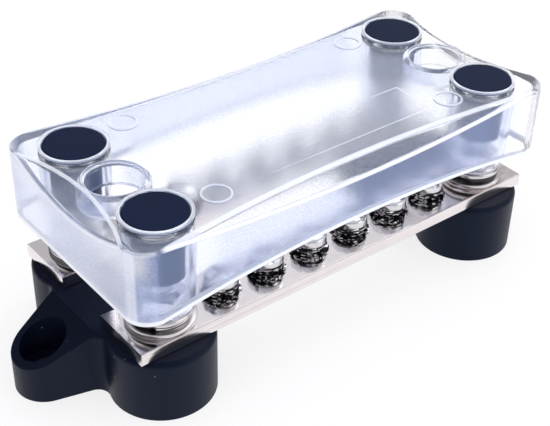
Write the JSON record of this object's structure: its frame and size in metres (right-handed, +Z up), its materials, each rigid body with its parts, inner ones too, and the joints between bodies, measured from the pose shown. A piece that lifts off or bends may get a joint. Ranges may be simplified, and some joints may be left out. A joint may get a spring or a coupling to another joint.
{
  "type": "power distribution block",
  "caption": "Two plated bus bars with end studs and rows of terminal screws on moulded pedestals, under a frosted lift-off cover.",
  "frame": {"origin": "centre of the mounting surface, midway between the two pedestals", "axes": "+X along the bus bars, +Y from the front bar to the rear bar, +Z up from the mounting surface"},
  "size_m": [0.15, 0.0566, 0.0467],
  "materials": {
    "black_moulding": "satin moulded black",
    "plated_bar": "bright nickel plate over copper alloy, fine brushed lines",
    "stainless": "bright stainless",
    "bright_screws": "polished nickel plate",
    "frosted_plastic": "frosted clear",
    "black_caps": "fine textured black"
  },
  "bodies": {
    "base": {"left_pedestal": "black_moulding", "right_pedestal": "black_moulding", "front_busbar": "plated_bar", "rear_busbar": "plated_bar", "stud_bolts": "stainless", "stud_flat_washers": "stainless", "stud_spring_washers": "stainless", "flange_nuts": "stainless", "front_toothed_washers": "stainless", "front_lock_washers": "stainless", "front_plain_washers": "stainless", "front_terminal_screws": "bright_screws", "rear_toothed_washers": "stainless", "rear_lock_washers": "stainless", "rear_plain_washers": "stainless", "rear_terminal_screws": "bright_screws"},
    "cover": {"cover": "frosted_plastic", "cap_front_left": "black_caps", "cap_front_right": "black_caps", "cap_rear_left": "black_caps", "cap_rear_right": "black_caps"}
  },
  "joints": [
    {"name": "cover_lift", "type": "slide", "parent": "base", "child": "cover", "axis": [0, 0, 1], "range_m": [0, 0.03]}
  ]
}
